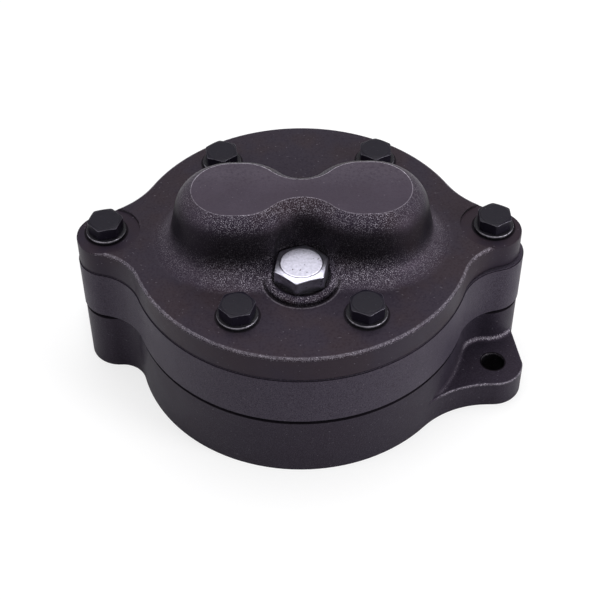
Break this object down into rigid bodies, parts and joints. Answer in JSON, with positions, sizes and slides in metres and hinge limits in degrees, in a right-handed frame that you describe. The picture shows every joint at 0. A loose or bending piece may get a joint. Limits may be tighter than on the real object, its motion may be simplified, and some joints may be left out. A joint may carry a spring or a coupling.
{
  "type": "transmission pump",
  "caption": "Round cast iron gear pump for a transmission, in bolted layers with side ears, mounting feet, a figure-eight bearing boss and a hexagon relief plug.",
  "frame": {"origin": "centre of the round body on the mounting face", "axes": "+Z from the mounting face to the cover, +X through the ear above the front foot, -Y to the side with the relief plug"},
  "size_m": [0.2072, 0.1558, 0.1019],
  "materials": {
    "cast_black": "satin black paint over cast iron, smooth on machined faces and sand-cast rough on the boss",
    "bolt_black": "black oxide, slightly glossy",
    "washer_black": "black oxide with bright worn edges",
    "plug_zinc": "bright zinc plate",
    "gear_steel": "ground hardened steel",
    "bronze": "bearing bronze",
    "seal_rubber": "nitrile rubber",
    "seal_steel": "phosphated sheet and spring steel",
    "spring_steel": "oil-tempered spring wire"
  },
  "bodies": {
    "housing": {"base_body": "cast_black", "gear_plate": "cast_black", "cover": "cast_black", "drive_cover_bushing": "bronze", "drive_base_bushing": "bronze", "driven_cover_bushing": "bronze", "driven_base_bushing": "bronze", "base_wear_plate": "bronze", "cover_wear_plate": "bronze", "base_joint_seal": "seal_rubber", "cover_joint_seal": "seal_rubber", "inlet_port_seal": "seal_rubber", "outlet_port_seal": "seal_rubber", "shaft_seal_lip": "seal_rubber", "plug_seal_ring": "seal_rubber", "shaft_seal_case": "seal_steel", "seal_snap_ring": "seal_steel", "cover_bolts": "bolt_black", "bolt_washers": "washer_black", "dowel_pins": "gear_steel", "relief_plug": "plug_zinc", "relief_spring": "spring_steel"},
    "drive_rotor": {"drive_shaft": "gear_steel", "drive_gear": "gear_steel", "drive_key": "gear_steel"},
    "driven_rotor": {"driven_shaft": "gear_steel", "driven_gear": "gear_steel", "driven_key": "gear_steel"},
    "relief_piston": {"relief_valve": "gear_steel"}
  },
  "joints": [
    {"name": "drive_spin", "type": "hinge", "parent": "housing", "child": "drive_rotor", "pos_m": [0.028, -0.002, 0.0464], "axis": [0, 0, 1], "continuous": true},
    {"name": "driven_spin", "type": "hinge", "parent": "housing", "child": "driven_rotor", "pos_m": [-0.028, -0.002, 0.0464], "axis": [0, 0, 1], "continuous": true},
    {"name": "relief_lift", "type": "slide", "parent": "housing", "child": "relief_piston", "axis": [0, 0, 1], "range_m": [0, 0.003], "stiffness_N_per_m": 5000, "springref_m": -0.004, "deforming": ["relief_spring"]}
  ],
  "couplings": [
    {"joint": "driven_spin", "follows": "drive_spin", "ratio": -1}
  ]
}
